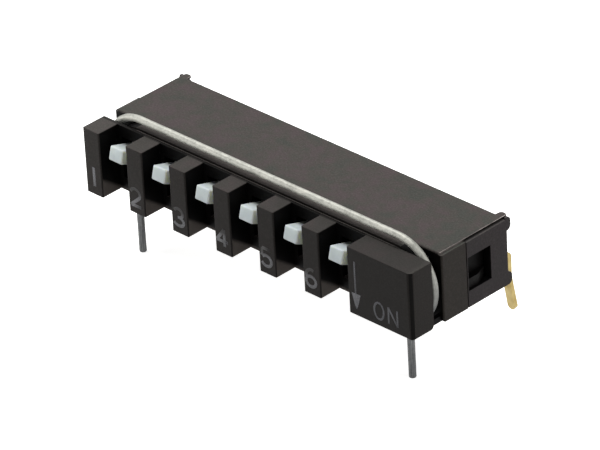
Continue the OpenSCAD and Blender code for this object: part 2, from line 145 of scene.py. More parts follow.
def row_with_painted_light(tree, place, skin, shaded_walls):
    """The row's skin, from a Mix node: painted shade on the thin walls behind the slots, and
    painted light that is strongest at finger 1, falls off towards the block's front and rises at
    its end."""
    # painted shade on the thin walls behind the slots
    wall_shade_mixed = add(tree, "ShaderNodeMix", {"data_type": "RGBA", OVER: linear(shaded_walls)},
                 {FACTOR: (shaded_wall_tops(tree, place), 0), UNDER: (skin, MIXED)})
    spot = add(tree, "ShaderNodeSeparateXYZ", links={"Vector": (place, "Object")})
    along = add(tree, "ShaderNodeMapRange", {"From Min": ROW_LEFT, "From Max": -ROW_LEFT},
                {"Value": (spot, "X")})
    # painted light, falling off from finger 1 to the right and rising again at the block's end
    painted_light_falloff = add(tree, "ShaderNodeValToRGB",
                  {"stops": [(0.0, "#ffffff"), (0.17, "#e8e8e8"), (0.45, "#d8d8d8"),
                             (0.74, "#cacaca"), (0.82, "#bababa"), (0.985, "#bababa"),
                             (1.0, "#dedede")]},
                  {"Fac": (along, 0)})
    return add(tree, "ShaderNodeMix", {"data_type": "RGBA", "blend_type": "MULTIPLY", FACTOR: 1.0},
               {UNDER: (wall_shade_mixed, MIXED), OVER: (painted_light_falloff, 0)})


def moulded_nylon(name, body, dust_and_sheen_tones, rough, specular, shaded_walls=None):
    """Glass-filled nylon out of a spark-eroded mould: a dull, slightly warm black with cloudy flow
    marks, a fine even grain, and a pale grey of dust and painted sheen on the faces that look up.
    body goes from dark to light, and so do the tones of dust and sheen. The walls' colour is given
    for the row alone, as painted shade on its thin walls behind the slots."""
    material, tree = new_material(name)
    place = add(tree, "ShaderNodeTexCoord")
    # flow marks about 1.8 mm across
    clouds = add(tree, "ShaderNodeTexNoise",
                 {"Scale": 1 / (1.8 * MM), "Detail": 3.0, "Roughness": 0.55},
                 {"Vector": (place, "Object")})
    # grain is about 0.02 mm on the real moulding, drawn at 0.07 mm so that it shows
    grain = add(tree, "ShaderNodeTexNoise",
                {"Scale": 1 / (0.07 * MM), "Detail": 2.0, "Roughness": 0.6},
                {"Vector": (place, "Object")})
    flow = add(tree, "ShaderNodeValToRGB", {"stops": list(zip((0.30, 0.50, 0.72), body))},
               {"Fac": (clouds, 0)})
    # dust and painted sheen lie on upward faces, and are thinner where the flow marks are dark
    skin = add(tree, "ShaderNodeNewGeometry")
    facing = add(tree, "ShaderNodeSeparateXYZ", links={"Vector": (skin, "Normal")})
    upward = add(tree, "ShaderNodeMapRange",
                 {"interpolation_type": "SMOOTHSTEP", "From Min": 0.25, "From Max": 0.95},
                 {"Value": (facing, "Z")})
    uneven = add(tree, "ShaderNodeMapRange",
                 {"From Min": 0.3, "From Max": 0.7, "To Min": 0.85, "To Max": 1.0},
                 {"Value": (clouds, 0)})
    dust_and_sheen = add(tree, "ShaderNodeMath", {"operation": "MULTIPLY"},
                {0: (upward, 0), 1: (uneven, 0)})
    # the dust and sheen turn a little greener or redder over about 0.9 mm
    tint = add(tree, "ShaderNodeTexNoise",
               {"Scale": 1 / (0.9 * MM), "Detail": 2.0, "Roughness": 0.7},
               {"Vector": (place, "Object")})
    dust_and_sheen_colour = add(tree, "ShaderNodeValToRGB", {"stops": list(zip((0.36, 0.50, 0.64), dust_and_sheen_tones))},
               {"Fac": (tint, 0)})
    dust_and_sheen_mixed = add(tree, "ShaderNodeMix", {"data_type": "RGBA"},
                 {FACTOR: (dust_and_sheen, 0), UNDER: (flow, 0), OVER: (dust_and_sheen_colour, 0)})
    specks = add(tree, "ShaderNodeValToRGB",
                 {"stops": [(0.35, "#c4c4c4"), (0.55, "#dcdcdc"), (0.75, "#ffffff")]},
                 {"Fac": (grain, 0)})
    colour = add(tree, "ShaderNodeMix",
                 {"data_type": "RGBA", "blend_type": "MULTIPLY", FACTOR: 0.8},
                 {UNDER: (dust_and_sheen_mixed, MIXED), OVER: (specks, 0)})
    if shaded_walls:
        colour = row_with_painted_light(tree, place, colour, shaded_walls)
    gloss = add(tree, "ShaderNodeMapRange",
                {"From Min": 0.3, "From Max": 0.7, "To Min": rough - 0.06, "To Max": rough + 0.06},
                {"Value": (clouds, 0)})
    relief = add(tree, "ShaderNodeBump", {"Strength": 0.35, "Distance": 0.004 * MM},
                 {"Height": (grain, 0)})
    shader = add(tree, "ShaderNodeBsdfPrincipled", {"IOR": 1.55, "Specular IOR Level": specular},
                 {"Base Color": (colour, MIXED), "Roughness": (gloss, 0), "Normal": (relief, 0)})
    add(tree, "ShaderNodeOutputMaterial", links={"Surface": (shader, 0)})
    return material


def shade_and_bounce_nylon(name, shade_tones, bounce_tones):
    """The same nylon, painted near black as the deep shade of the slots, the groove under the wire
    and the windows, with little shine. A paler wedge at the foot of each slot, high at the front
    and low at the back, is painted light that the floor throws up into it."""
    material, tree = new_material(name)
    place = add(tree, "ShaderNodeTexCoord")
    spot = add(tree, "ShaderNodeSeparateXYZ", links={"Vector": (place, "Object")})
    forward = add(tree, "ShaderNodeMath", {"operation": "SUBTRACT", 0: SLOT_WALL},
                  {1: (spot, "Y")})
    # the wedge of painted bounce light rises by 0.72 for each step forward, from 0.05 mm above the
    # foot
    bounce_line = add(tree, "ShaderNodeMath", {"operation": "MULTIPLY_ADD", 1: 0.72, 2: 0.05 * MM},
               {0: (forward, 0)})
    above = add(tree, "ShaderNodeMath", {"operation": "SUBTRACT"}, {0: (spot, "Z"), 1: (bounce_line, 0)})
    out_of_bounce = add(tree, "ShaderNodeMapRange",
                 {"interpolation_type": "SMOOTHSTEP", "From Min": -0.10 * MM,
                  "From Max": 0.16 * MM},
                 {"Value": (above, 0)})
    # faint clouds about 0.8 mm across
    clouds = add(tree, "ShaderNodeTexNoise", {"Scale": 1 / (0.8 * MM), "Detail": 2.0},
                 {"Vector": (place, "Object")})
    bounce_colour = add(tree, "ShaderNodeValToRGB", {"stops": list(zip((0.3, 0.7), bounce_tones))},
                      {"Fac": (clouds, 0)})
    shade_colour = add(tree, "ShaderNodeValToRGB", {"stops": list(zip((0.3, 0.7), shade_tones))},
                      {"Fac": (clouds, 0)})
    colour = add(tree, "ShaderNodeMix", {"data_type": "RGBA"},
                 {FACTOR: (out_of_bounce, 0), UNDER: (bounce_colour, 0), OVER: (shade_colour, 0)})
    gloss = add(tree, "ShaderNodeMapRange",
                {"From Min": 0.3, "From Max": 0.7, "To Min": 0.36, "To Max": 0.46},
                {"Value": (clouds, 0)})
    shader = add(tree, "ShaderNodeBsdfPrincipled", {"IOR": 1.55, "Specular IOR Level": 0.03},
                 {"Base Color": (colour, MIXED), "Roughness": (gloss, 0)})
    add(tree, "ShaderNodeOutputMaterial", links={"Surface": (shader, 0)})
    return material


def seam_nylon(name, highlit, shadow):
    """The cut edge of the body's lip: a painted grey highlight towards the front, and painted
    shadow of the joint where the base's arm stands against it."""
    material, tree = new_material(name)
    place = add(tree, "ShaderNodeTexCoord")
    spot = add(tree, "ShaderNodeSeparateXYZ", links={"Vector": (place, "Object")})
    # patches about 0.35 mm across in the painted highlight and shadow
    clouds = add(tree, "ShaderNodeTexNoise", {"Scale": 1 / (0.35 * MM), "Detail": 3.0},
                 {"Vector": (place, "Object")})
    joint = add(tree, "ShaderNodeMapRange",
                {"interpolation_type": "SMOOTHSTEP", "From Min": ARM_FRONT - 0.25 * MM,
                 "From Max": ARM_FRONT + 0.05 * MM},
                {"Value": (spot, "Y")})
    highlit_colour = add(tree, "ShaderNodeValToRGB", {"stops": list(zip((0.35, 0.65), highlit))},
                        {"Fac": (clouds, 0)})
    shadow_colour = add(tree, "ShaderNodeValToRGB", {"stops": list(zip((0.35, 0.65), shadow))},
                        {"Fac": (clouds, 0)})
    colour = add(tree, "ShaderNodeMix", {"data_type": "RGBA"},
                 {FACTOR: (joint, 0), UNDER: (highlit_colour, 0), OVER: (shadow_colour, 0)})
    shader = add(tree, "ShaderNodeBsdfPrincipled", {"Roughness": 0.55, "Specular IOR Level": 0.03},
                 {"Base Color": (colour, MIXED)})
    add(tree, "ShaderNodeOutputMaterial", links={"Surface": (shader, 0)})
    return material


def moulded_acetal(name):
    """Natural white acetal, moulded and unpolished: cool white, waxy, with a soft glow at its
    edges, painted light on its right-hand sides and painted shade towards its root."""
    material, tree = new_material(name)
    place = add(tree, "ShaderNodeTexCoord")
    # flow marks about 0.5 mm across, and a mould grain of about 0.05 mm
    clouds = add(tree, "ShaderNodeTexNoise", {"Scale": 1 / (0.5 * MM), "Detail": 2.0},
                 {"Vector": (place, "Object")})
    grain = add(tree, "ShaderNodeTexNoise", {"Scale": 1 / (0.05 * MM), "Detail": 1.0},
                {"Vector": (place, "Object")})
    waxy = add(tree, "ShaderNodeValToRGB", {"stops": [(0.3, "#c4ced0"), (0.7, "#d3dcde")]},
               {"Fac": (clouds, 0)})
    # painted light: the right-hand sides are painted a lighter cream
    skin = add(tree, "ShaderNodeNewGeometry")
    facing = add(tree, "ShaderNodeSeparateXYZ", links={"Vector": (skin, "Normal")})
    right_side_light = add(tree, "ShaderNodeMapRange",
                   {"interpolation_type": "SMOOTHSTEP", "From Min": 0.3, "From Max": 0.8},
                   {"Value": (facing, "X")})
    side_lit = add(tree, "ShaderNodeMix", {"data_type": "RGBA", OVER: linear("#eff4ef")},
                {FACTOR: (right_side_light, 0), UNDER: (waxy, 0)})
    # painted shade: the knob is greyer towards its root, where the slot shades it
    spot = add(tree, "ShaderNodeSeparateXYZ", links={"Vector": (place, "Object")})
    root_shade = add(tree, "ShaderNodeMapRange",
               {"interpolation_type": "SMOOTHSTEP", "From Min": -3.45 * MM,
                "From Max": -2.55 * MM, "To Max": 0.5},
               {"Value": (spot, "Y")})
    colour = add(tree, "ShaderNodeMix", {"data_type": "RGBA", OVER: linear("#a0a294")},
                 {FACTOR: (root_shade, 0), UNDER: (side_lit, MIXED)})
    relief = add(tree, "ShaderNodeBump", {"Strength": 0.2, "Distance": 0.003 * MM},
                 {"Height": (grain, 0)})
    shader = add(tree, "ShaderNodeBsdfPrincipled",
                 {"IOR": 1.48, "Roughness": 0.42, "Specular IOR Level": 0.3,
                  "Subsurface Weight": 0.8, "Subsurface Radius": (1.0, 1.0, 0.8),
                  "Subsurface Scale": 0.42 * MM},
                 {"Base Color": (colour, MIXED), "Normal": (relief, 0)})
    add(tree, "ShaderNodeOutputMaterial", links={"Surface": (shader, 0)})
    return material


def plated_metal(name, tones, rough, work_stretch):
    """Rolled strip under a thin plating: fine lines along the work and a soft, uneven shine.
    work_stretch is smallest on the axis that the lines follow."""
    material, tree = new_material(name)
    place = add(tree, "ShaderNodeTexCoord")
    stretch = add(tree, "ShaderNodeMapping", {"Scale": work_stretch},
                  {"Vector": (place, "Object")})
    # rolling lines about 0.05 mm apart, and uneven plating about 0.6 mm across
    lines = add(tree, "ShaderNodeTexNoise", {"Scale": 1 / (0.05 * MM), "Detail": 3.0},
                {"Vector": (stretch, 0)})
    clouds = add(tree, "ShaderNodeTexNoise", {"Scale": 1 / (0.6 * MM), "Detail": 3.0},
                 {"Vector": (place, "Object")})
    colour = add(tree, "ShaderNodeValToRGB", {"stops": list(zip((0.3, 0.65), tones))},
                 {"Fac": (clouds, 0)})
    gloss = add(tree, "ShaderNodeMapRange",
                {"From Min": 0.3, "From Max": 0.7, "To Min": rough - 0.07, "To Max": rough + 0.07},
                {"Value": (lines, 0)})
    relief = add(tree, "ShaderNodeBump", {"Strength": 0.3, "Distance": 0.002 * MM},
                 {"Height": (lines, 0)})
    shader = add(tree, "ShaderNodeBsdfPrincipled", {"Metallic": 1.0},
                 {"Base Color": (colour, 0), "Roughness": (gloss, 0), "Normal": (relief, 0)})
    add(tree, "ShaderNodeOutputMaterial", links={"Surface": (shader, 0)})
    return material


def drawn_tinned_wire(name):
    """Copper-clad wire, drawn and then tinned: a pale, dull tin skin with lines along the wire and
    cloudy patches, and a painted dim reflection that turns it grey from the bends down to the legs."""
    material, tree = new_material(name)
    # "straight" holds where each point lay before the wire was bent: across, across, and along
    straight = add(tree, "ShaderNodeAttribute", {"attribute_name": "straight"})
    place = add(tree, "ShaderNodeTexCoord")
    height = add(tree, "ShaderNodeSeparateXYZ", links={"Vector": (place, "Object")})
    draw = add(tree, "ShaderNodeMapping", {"Scale": (1.0, 1.0, 0.04)},
               {"Vector": (straight, "Vector")})
    # die lines about 0.04 mm apart
    lines = add(tree, "ShaderNodeTexNoise", {"Scale": 1 / (0.04 * MM), "Detail": 2.0},
                {"Vector": (draw, 0)})
    stretch = add(tree, "ShaderNodeMapping", {"Scale": (1.0, 1.0, 0.45)},
                  {"Vector": (straight, "Vector")})
    # patches in the tin, 0.22 mm across and about twice as long
    patches = add(tree, "ShaderNodeTexNoise",
                  {"Scale": 1 / (0.22 * MM), "Detail": 3.0, "Roughness": 0.6},
                  {"Vector": (stretch, 0)})
    tin = add(tree, "ShaderNodeValToRGB",
              {"stops": [(0.30, "#8c8c85"), (0.50, "#a1a19a"), (0.70, "#b2b1a9")]},
              {"Fac": (patches, 0)})
    dim_reflection_tone = add(tree, "ShaderNodeValToRGB",
               {"stops": [(0.35, "#555657"), (0.52, "#656667"), (0.68, "#797a7a")]},
               {"Fac": (lines, 0)})
    # painted dim reflection: the tin gives way to grey from the bends down to the legs
    dim_reflection = add(tree, "ShaderNodeMapRange",
               {"interpolation_type": "SMOOTHSTEP", "From Min": 0.2 * MM, "From Max": 3.6 * MM,
                "To Min": 1.0, "To Max": 0.0},
               {"Value": (height, "Z")})
    blend = add(tree, "ShaderNodeMix", {"data_type": "RGBA"},
                {FACTOR: (dim_reflection, 0), UNDER: (tin, 0), OVER: (dim_reflection_tone, 0)})
    # the tin skin is frosted in grains of about 0.1 mm
    frost = add(tree, "ShaderNodeTexNoise",
                {"Scale": 1 / (0.10 * MM), "Detail": 3.0, "Roughness": 0.7},
                {"Vector": (straight, "Vector")})
    grains = add(tree, "ShaderNodeValToRGB",
                 {"stops": [(0.36, "#e0e0e0"), (0.46, "#f5f5f5"), (0.62, "#ffffff")]},
                 {"Fac": (frost, 0)})
    colour = add(tree, "ShaderNodeMix",
                 {"data_type": "RGBA", "blend_type": "MULTIPLY", FACTOR: 1.0},
                 {UNDER: (blend, MIXED), OVER: (grains, 0)})
    gloss = add(tree, "ShaderNodeMapRange",
                {"From Min": 0.3, "From Max": 0.7, "To Min": 0.56, "To Max": 0.68},
                {"Value": (patches, 0)})
    relief = add(tree, "ShaderNodeBump", {"Strength": 0.12, "Distance": 0.002 * MM},
                 {"Height": (lines, 0)})
    shader = add(tree, "ShaderNodeBsdfPrincipled", {"Metallic": 0.85},
                 {"Base Color": (colour, MIXED), "Roughness": (gloss, 0), "Normal": (relief, 0)})
    add(tree, "ShaderNodeOutputMaterial", links={"Surface": (shader, 0)})
    return material


def pad_print(name, tones, lost):
    """Thin grey pad-printed ink on a grained moulding, which breaks it up a little. lost says how
    much of it came away with the pad at the top of a figure, where the pad lifted first."""
    material, tree = new_material(name)
    place = add(tree, "ShaderNodeTexCoord")
    # breaks of about 0.05 mm
    grain = add(tree, "ShaderNodeTexNoise", {"Scale": 1 / (0.05 * MM), "Detail": 2.0},
                {"Vector": (place, "Object")})
    ink = add(tree, "ShaderNodeValToRGB", {"stops": list(zip((0.35, 0.65), tones))},
              {"Fac": (grain, 0)})
    spot = add(tree, "ShaderNodeSeparateXYZ", links={"Vector": (place, "Object")})
    lifted = add(tree, "ShaderNodeMapRange",
                 {"interpolation_type": "SMOOTHSTEP", "From Min": 0.80 * MM,
                  "From Max": 1.05 * MM, "To Max": lost},
                 {"Value": (spot, "Z")})
    colour = add(tree, "ShaderNodeMix", {"data_type": "RGBA", OVER: linear("#3a3836")},
                 {FACTOR: (lifted, 0), UNDER: (ink, 0)})
    shader = add(tree, "ShaderNodeBsdfPrincipled", {"Roughness": 0.7, "Specular IOR Level": 0.1},
                 {"Base Color": (colour, MIXED)})
    add(tree, "ShaderNodeOutputMaterial", links={"Surface": (shader, 0)})
    return material


# The body's shell
housing_nylon = moulded_nylon("glass_filled_nylon_housing", ("#332f2c", "#383431", "#3c3936"),
                              ("#4d4e49", "#534f4b", "#584f4f"), rough=0.52, specular=0.05)
# The fingers and the block, with painted shade on the walls behind the slots and painted light
# falling off to the right
row_nylon = moulded_nylon("glass_filled_nylon_row", ("#302c2a", "#353230", "#3a3634"),
                          ("#524f4b", "#55514e", "#595250"), rough=0.52, specular=0.05,
                          shaded_walls="#181716")
# The block's upright corner, smoother, and darkened with painted shade
shaded_corner_nylon = moulded_nylon("painted_shade_nylon_corner", ("#0e0d0d", "#131211", "#181716"),
                             ("#282624", "#2c2a28", "#302d2b"), rough=0.40, specular=0.03)
# The edges of the body's top at its two ends, with a blotchy painted highlight
highlit_edge_nylon = moulded_nylon("painted_highlight_nylon_edge", ("#454140", "#77706d", "#b0a6a2"),
                           ("#6c6663", "#b0a5a1", "#e2d7d2"), rough=0.45, specular=0.12)
# Painted shade in the slots, the groove under the wire and the windows, with painted bounce light
# at the slots' feet
shaded_slot_nylon = shade_and_bounce_nylon("painted_shade_nylon_slots", shade_tones=("#080707", "#0d0c0c"),
                            bounce_tones=("#6c6561", "#7a736f"))
# The row's heel, darkened with painted shade where the wire's shadow falls
shaded_heel_nylon = moulded_nylon("painted_shade_nylon_heel", ("#2f2c2a", "#353230", "#3a3735"),
                           ("#4a4643", "#4f4a47", "#544e4c"), rough=0.52, specular=0.04)
# painted highlight at the lip's front, painted shadow in the joint
lip_nylon = seam_nylon("lip_edge_nylon", highlit=("#5a5552", "#6e6966"),
                       shadow=("#0a0909", "#141312"))
base_nylon = moulded_nylon("glass_filled_nylon_base", ("#353132", "#3a3637", "#403b3c"),
                           ("#4b4846", "#524e4c", "#585352"), rough=0.55, specular=0.06)
lever_acetal = moulded_acetal("natural_acetal_lever")
wire_tin = drawn_tinned_wire("tinned_drawn_wire")
pin_gold = plated_metal("gold_plated_bronze", ("#8d7b4a", "#a59566"), rough=0.40,
                        work_stretch=(1.0, 1.0, 0.15))
spring_bronze = plated_metal("rolled_spring_bronze", ("#a8834d", "#bd9860"), rough=0.34,
                             work_stretch=(1.0, 0.15, 1.0))
# Full ink on the 1 and the arrow's head, thin tops on the other numbers, and a fainter ink on the
# arrow's line and the letters
full_ink = pad_print("pad_printed_ink", ("#6e6e71", "#8f8f93"), lost=0.0)
faint_ink = pad_print("pad_printed_letters", ("#565659", "#707074"), lost=0.0)
worn_ink = pad_print("pad_printed_figures", ("#656567", "#838386"), lost=0.75)


# Modelling ---------------------------------------------------------------

SAME_POINT = 1e-7


def select_only(obj):
    """Only this object selected and active."""
    bpy.ops.object.select_all(action="DESELECT")
    obj.select_set(True)
    bpy.context.view_layer.objects.active = obj


def start_edit(obj):
    """Edit mode on this object alone, with nothing selected in it."""
    select_only(obj)
    bpy.ops.object.mode_set(mode="EDIT")
    bpy.ops.mesh.select_all(action="DESELECT")


def end_edit():
    bpy.ops.object.mode_set(mode="OBJECT")


def smooth(obj, degrees=32):
    """Smooth shading on curved parts, with flat faces kept flat."""
    select_only(obj)
    bpy.ops.object.shade_smooth_by_angle(angle=math.radians(degrees))
    weigh = obj.modifiers.new("flat_faces", "WEIGHTED_NORMAL")
    weigh.keep_sharp = True
    weigh.weight = 100
    for modifier in list(obj.modifiers):
        bpy.ops.object.modifier_apply(modifier=modifier.name)


def finish_with(obj, *materials):
    obj.data.materials.clear()
    for material in materials:
        obj.data.materials.append(material)


def merged_copy(node, name):
    """A new object with a node's faces joined up and its flat faces made whole."""
    obj = bpy.data.objects.new(name, nodes[node].data.copy())
    obj.data.name = name
    bpy.context.scene.collection.objects.link(obj)
    start_edit(obj)
    bpy.ops.mesh.customdata_custom_splitnormals_clear()
    bpy.ops.mesh.select_all(action="SELECT")
    bpy.ops.mesh.remove_doubles(threshold=SAME_POINT)
    bpy.ops.mesh.dissolve_limited(angle_limit=math.radians(0.5))
    end_edit()
    return obj


def soften_edges(obj, width, longer_than, segments=2, where=None):
    """Rounds the outward edges that are long enough and turn by more than 50 degrees, as a mould
    or a tumbling drum leaves them. where narrows them down by the places of their ends."""
    start_edit(obj)
    bpy.ops.mesh.select_mode(type="EDGE")
    mesh = bmesh.from_edit_mesh(obj.data)
    for edge in mesh.edges:
        if (len(edge.link_faces) == 2 and edge.is_convex and edge.calc_length() > longer_than
                and edge.calc_face_angle() > math.radians(50)
                and (where is None or all(where(vertex.co) for vertex in edge.verts))):
            edge.select_set(True)
    bmesh.update_edit_mesh(obj.data)
    bpy.ops.mesh.bevel(offset=width, offset_type="OFFSET", segments=segments, affect="EDGES",
                       clamp_overlap=False)
    end_edit()


def finish_piece(obj, body, node):
    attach(obj, body)
    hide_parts(node)


# Mouldings ---------------------------------------------------------------

# Where one finish of the mouldings ends and the next begins. Both ends of the body are alike, so
# places along X are distances from the middle.
NEAR = 0.001 * MM                 # reach past a face, so that the face itself is taken
FLAT = 0.9                        # how much of a normal lies along an axis on a face across it
SLOPE = 0.98                      # the same for a face that is neither rounded nor sloped
ROUNDED_EDGE = 0.06 * MM          # depth of the row's rounded front edges
CORNER_DEPTH = 0.3 * MM           # depth of the block's upright corner
SLOT_TOP = 3.06 * MM              # height of the slots' walls that take painted shade
NECK_END = 7.5 * MM               # end of the neck's straight stretch
SLIT_DEPTH = 0.15 * MM            # from the row's back into the slit under the wire
SLIT_FOOT = 2.6 * MM              # height at which the slit's painted shade begins
HEEL_FRONT = SLOT_WALL - 0.02 * MM
HEEL_BACK = BODY_FRONT - 0.1 * MM
BODY_END = 8.8 * MM               # start of the body's two ends
TOP_EDGE = 3.15 * MM              # just under the body's top
LIP_INNER = 9.0 * MM
ARM_INNER = 8.95 * MM
SEAM_FOOT = 1.6 * MM              # foot of the painted shade in the seam at the arm's front
# Lowest and highest corners of the wall that carries the latch, and of the arm's window, in mm
LATCH_WALL = (8.88, -0.60, 0.3), (9.30, 3.0, 2.9)
WINDOW = (8.95, -0.40, 0.7), (9.30, 1.0, 2.35)


def inside(spot, box):
    """True for a place inside that box or inside its twin at the other end of the body."""
    place = abs(spot.x), spot.y, spot.z
    return all(low * MM < at < high * MM for low, at, high in zip(box[0], place, box[1]))


def on_top_edge(spot):
    """True on the edges of the body's top at its two ends."""
    return abs(spot.x) > BODY_END and spot.z > TOP_EDGE and spot.y > BODY_FRONT


def housing_finish(spot, way):
    """The finish of the face with that middle and that normal."""
    in_row = (ROW_FRONT + ROUNDED_EDGE < spot.y < ROW_BACK - NEAR
              and FIRST_FINGER < spot.x < LAST_SLOT)
    in_slot = in_row and (abs(way.x) > FLAT or way.y < -FLAT) and spot.z < SLOT_TOP
    in_groove = (ROW_BACK - NEAR < spot.y < BODY_FRONT + NEAR
                 and (way.z < FLAT or abs(spot.x) > NECK_END))
    in_slit = in_groove and spot.y < ROW_BACK + SLIT_DEPTH and spot.z > SLIT_FOOT
    on_heel = HEEL_FRONT < spot.y < HEEL_BACK and way.z > 0.5 and abs(spot.x) < LAST_SLOT
    on_corner = (spot.y < ROW_FRONT + CORNER_DEPTH and spot.x > LAST_SLOT
                 and way.x > 0.5 and way.y < -0.25)
    rounded = max(abs(way.x), abs(way.y), abs(way.z)) < SLOPE
    if abs(spot.x) > LIP_INNER and way.z < 0.5 and spot.z > LIP_Z:
        return lip_nylon
    # painted shade in the slit under the wire and on the heel
    if in_slit and abs(spot.x) < NECK_END:
        return shaded_heel_nylon
    # painted shade in the slots, the groove and on the latch wall
    if in_slot or in_groove or inside(spot, LATCH_WALL):
        return shaded_slot_nylon
    if on_heel:
        return shaded_heel_nylon
    if on_corner:
        return shaded_corner_nylon
    if spot.y < ROW_BACK + NEAR:
        return row_nylon
    # rounded upward edges: painted highlight at the body's two ends, painted shade elsewhere
    if rounded and way.z > 0.3:
        return highlit_edge_nylon if abs(spot.x) > BODY_END else shaded_heel_nylon
    return housing_nylon


def dress_housing():
    """Fingers, block, neck and shell: spark-eroded outside, with painted shade in the six slots."""
    obj = merged_copy("housing", "housing_moulding")
    finishes = [housing_nylon, shaded_slot_nylon, highlit_edge_nylon, shaded_heel_nylon, lip_nylon, row_nylon,
                shaded_corner_nylon]
    finish_with(obj, *finishes)
    soften_edges(obj, 0.03 * MM, longer_than=0.0, where=on_top_edge)
    for face in obj.data.polygons:
        face.material_index = finishes.index(housing_finish(face.center, face.normal))
    smooth(obj)
    finish_piece(obj, "body", "housing")


def dress_base():
    """Back, floor and two arms, with the window edges and ears lightly rounded."""
    obj = merged_copy("base", "base_moulding")
    finish_with(obj, base_nylon, shaded_slot_nylon)
    for face in obj.data.polygons:
        spot = face.center
        # the seam at the arm's front and the window take the painted shade
        in_seam = abs(spot.x) > ARM_INNER and spot.y < ARM_FRONT + NEAR and spot.z > SEAM_FOOT
        if in_seam or inside(spot, WINDOW):
            face.material_index = 1
    soften_edges(obj, 0.02 * MM, longer_than=0.25 * MM)
    smooth(obj)
    finish_piece(obj, "body", "base")


def dress_levers():
    """One lever with softened edges, copied along the row."""
    first = merged_copy("lever_1", "lever_moulding_1")
    finish_with(first, lever_acetal)
    soften_edges(first, 0.08 * MM, longer_than=0.20 * MM, segments=4)
    smooth(first)
    levers = [first]
    for i in range(1, LEVERS):
        lever = bpy.data.objects.new("lever_moulding_%d" % (i + 1), first.data.copy())
        bpy.context.scene.collection.objects.link(lever)
        lever.data.transform(Matrix.Translation((i * PITCH, 0, 0)))
        levers.append(lever)
    for i, lever in enumerate(levers):
        finish_piece(lever, "rocker_%d" % (i + 1), "lever_%d" % (i + 1))


def dress_terminals():
    """Stamped and bent pins, with the burrs tumbled off."""
    for node in ["common_bar"] + ["terminal_%d" % (i + 1) for i in range(LEVERS)]:
        obj = merged_copy(node, node + "_plated")
        finish_with(obj, pin_gold)
        soften_edges(obj, 0.02 * MM, longer_than=0.15 * MM)
        smooth(obj)
        finish_piece(obj, "body", node)


# Wire --------------------------------------------------------------------

# Sizes that the model's source also gives
WIRE_R = 0.16 * MM
WIRE_GAP = 0.39 * MM
WIRE_OUT = 0.05 * MM
WIRE_CLEAR = 0.22 * MM
NECK_HALF_H = 1.50 * MM
NECK_Z = 1.61 * MM
FOOT_R = 0.40 * MM
LEG_DROP = 2.98 * MM
TURN = math.radians(69)

# Middle lines: the bend over the neck, round (ARC_X, NECK_Z), and the bend into the leg, round
# (FOOT_X, FOOT_Z)
WIRE_Y = BODY_FRONT - WIRE_GAP
TOP_R = NECK_HALF_H + WIRE_CLEAR + WIRE_R
ARC_X = WIRE_OUT - ROW_LEFT - WIRE_R - TOP_R
FOOT_X = ARC_X + (TOP_R + FOOT_R) * math.cos(TURN)
FOOT_Z = NECK_Z - (TOP_R + FOOT_R) * math.sin(TURN)
LEG_X = FOOT_X - FOOT_R
OVER_NECK = TURN + math.pi / 2

# The shears' chamfer at the tips: how long it is, and how much it takes off the radius
TIP_L = 0.03 * MM
TIP_R = 0.02 * MM
# How many steps the wire is drawn in on a leg, a foot, a bend and the top
LEG_STEPS, FOOT_STEPS, BEND_STEPS, TOP_STEPS = 12, 10, 34, 24
# How many points its middle line is measured at on the same stretches
LEG_POINTS, FOOT_POINTS, BEND_POINTS, TOP_POINTS = 40, 30, 90, 150


def wire_path():
    """Points and directions along the middle of the wire, from the left leg's tip to the right
    one's."""
    half = []
    for k in range(LEG_POINTS + 1):
        z = -LEG_DROP + (LEG_DROP + FOOT_Z) * k / LEG_POINTS
        half.append((Vector((LEG_X, 0, z)), Vector((0, 0, 1))))
    for k in range(1, FOOT_POINTS + 1):
        a = math.pi - TURN * k / FOOT_POINTS
        half.append((Vector((FOOT_X + FOOT_R * math.cos(a), 0, FOOT_Z + FOOT_R * math.sin(a))),
                     Vector((math.sin(a), 0, -math.cos(a)))))
    for k in range(1, BEND_POINTS + 1):
        a = -TURN + OVER_NECK * k / BEND_POINTS
        half.append((Vector((ARC_X + TOP_R * math.cos(a), 0, NECK_Z + TOP_R * math.sin(a))),
                     Vector((-math.sin(a), 0, math.cos(a)))))
    left = [(Vector((-p.x, 0, p.z)), Vector((-t.x, 0, t.z))) for p, t in half]
    over = [(Vector((-ARC_X + 2 * ARC_X * k / TOP_POINTS, 0, NECK_Z + TOP_R)), Vector((1, 0, 0)))
            for k in range(1, TOP_POINTS)]
    right = [(p, -t) for p, t in reversed(half)]
    return left + over + right


def draw(x, z, grow=1.0):
    """Draws the wire's end on by that much, and makes it that much thicker."""
    bpy.ops.mesh.extrude_region_move(TRANSFORM_OT_translate={"value": (x, 0, z)})
    if grow != 1.0:
        bpy.ops.transform.resize(value=(grow, grow, 1))


def turn(x, z, way, angle, steps):
    """Bends the wire's end round that centre."""
    bpy.ops.mesh.spin(steps=steps, angle=angle, center=(x, WIRE_Y, z), axis=(0, way, 0),
                      dupli=False)


